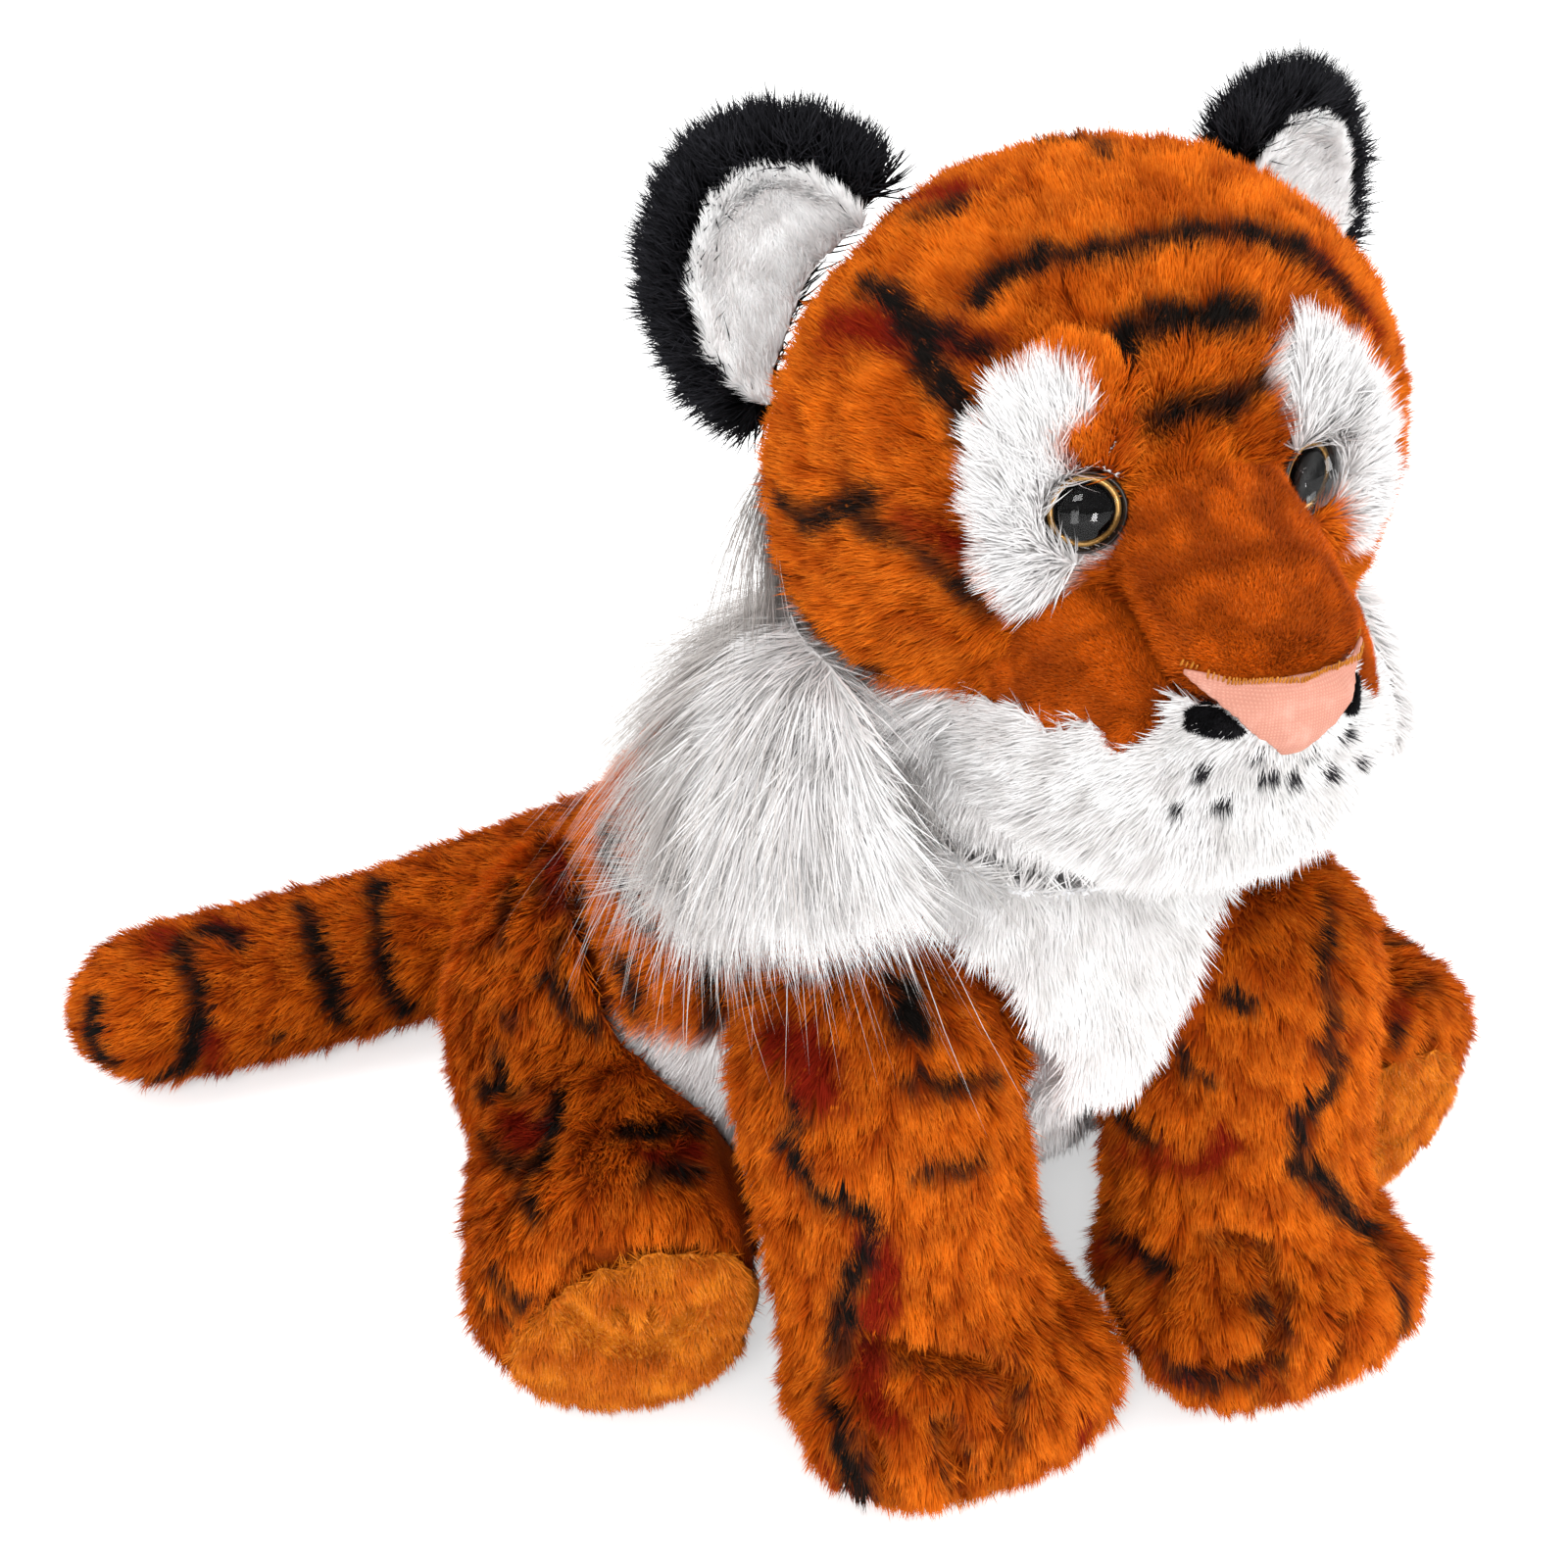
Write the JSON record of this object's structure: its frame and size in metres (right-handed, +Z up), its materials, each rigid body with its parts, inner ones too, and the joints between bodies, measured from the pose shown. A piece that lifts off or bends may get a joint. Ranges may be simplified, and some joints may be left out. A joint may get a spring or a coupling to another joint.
{
  "type": "plush tiger",
  "caption": "Sitting stuffed tiger of striped plush with a face sewn from panels, safety eyes and turning head, legs, ears and tail.",
  "frame": {"origin": "middle of the flat seat that the tiger sits on, at floor level", "axes": "+Z up, the tiger faces -Y, its left side is +X"},
  "size_m": [0.3372, 0.286, 0.286],
  "materials": {
    "tiger_plush": "long-pile plush, orange with dark stripes",
    "white_plush": "long-pile plush, white",
    "black_plush": "long-pile plush, black",
    "velvet": "short velvet pile, rust brown",
    "sole_cloth": "short pile, golden tan",
    "nose_cloth": "fine woven cloth, pink",
    "black_felt": "felt, black",
    "stuffing": "loose fibre filling",
    "bag_cloth": "plain woven bag",
    "eye_rim": "moulded, dark brown",
    "eye_gold": "moulded, golden brown",
    "eye_black": "polished black",
    "eye_clear": "clear cast dome",
    "washer_plastic": "moulded white nylon"
  },
  "bodies": {
    "trunk": {"trunk_cover": "tiger_plush", "chest_panel": "white_plush", "belly_panel": "white_plush", "trunk_filling": "stuffing", "pellet_bag": "bag_cloth"},
    "neck": {"neck_sleeve": "white_plush", "neck_filling": "stuffing"},
    "head": {"head_cover": "tiger_plush", "head_filling": "stuffing", "throat": "white_plush", "ruff": "white_plush", "muzzle": "white_plush", "chin": "white_plush", "nose_bridge": "velvet", "cheek_right": "velvet", "eye_patch_right": "white_plush", "cheek_left": "velvet", "eye_patch_left": "white_plush", "nose": "nose_cloth", "nose_felt_right": "black_felt", "eye_dish_right": "eye_rim", "eye_iris_right": "eye_gold", "eye_pupil_right": "eye_black", "eye_dome_right": "eye_clear", "eye_washer_right": "washer_plastic", "nose_felt_left": "black_felt", "eye_dish_left": "eye_rim", "eye_iris_left": "eye_gold", "eye_pupil_left": "eye_black", "eye_dome_left": "eye_clear", "eye_washer_left": "washer_plastic"},
    "ear_right": {"ear_back_right": "black_plush", "ear_lining_right": "white_plush"},
    "ear_left": {"ear_back_left": "black_plush", "ear_lining_left": "white_plush"},
    "front_leg_right": {"front_leg_cover_right": "tiger_plush", "front_leg_filling_right": "stuffing", "front_sole_right": "sole_cloth"},
    "front_leg_left": {"front_leg_cover_left": "tiger_plush", "front_leg_filling_left": "stuffing", "front_sole_left": "sole_cloth"},
    "hind_leg_right": {"hind_leg_cover_right": "tiger_plush", "hind_leg_filling_right": "stuffing", "hind_sole_right": "sole_cloth"},
    "hind_leg_left": {"hind_leg_cover_left": "tiger_plush", "hind_leg_filling_left": "stuffing", "hind_sole_left": "sole_cloth"},
    "tail": {"tail_cover": "tiger_plush", "tail_filling": "stuffing"}
  },
  "joints": [
    {"name": "head_turn", "type": "hinge", "parent": "trunk", "child": "neck", "pos_m": [0, -0.096, 0.168], "axis": [0, 0, 1], "range_deg": [-25, 25]},
    {"name": "head_nod", "type": "hinge", "parent": "neck", "child": "head", "pos_m": [0, -0.096, 0.168], "axis": [1, 0, 0], "range_deg": [-10, 8]},
    {"name": "ear_fold_right", "type": "hinge", "parent": "head", "child": "ear_right", "pos_m": [-0.052, -0.0855, 0.2425], "axis": [-0.4274, 0.3561, -0.831], "range_deg": [-15, 15], "stiffness_Nm_per_rad": 0.04},
    {"name": "ear_fold_left", "type": "hinge", "parent": "head", "child": "ear_left", "pos_m": [0.052, -0.0855, 0.2425], "axis": [0.4274, 0.3561, -0.831], "range_deg": [-15, 15], "stiffness_Nm_per_rad": 0.04},
    {"name": "front_leg_right_swing", "type": "hinge", "parent": "trunk", "child": "front_leg_right", "pos_m": [-0.045, -0.111, 0.1], "axis": [-1, 0, 0], "range_deg": [0, 25]},
    {"name": "front_leg_left_swing", "type": "hinge", "parent": "trunk", "child": "front_leg_left", "pos_m": [0.045, -0.111, 0.1], "axis": [-1, 0, 0], "range_deg": [0, 25]},
    {"name": "hind_leg_right_spread", "type": "hinge", "parent": "trunk", "child": "hind_leg_right", "pos_m": [-0.075, 0.03, 0.056], "axis": [0, 0, -1], "range_deg": [0, 15]},
    {"name": "hind_leg_left_spread", "type": "hinge", "parent": "trunk", "child": "hind_leg_left", "pos_m": [0.075, 0.03, 0.056], "axis": [0, 0, 1], "range_deg": [0, 15]},
    {"name": "tail_swing", "type": "hinge", "parent": "trunk", "child": "tail", "pos_m": [0, 0.05, 0.052], "axis": [0, 0, -1], "range_deg": [-2, 80]}
  ]
}
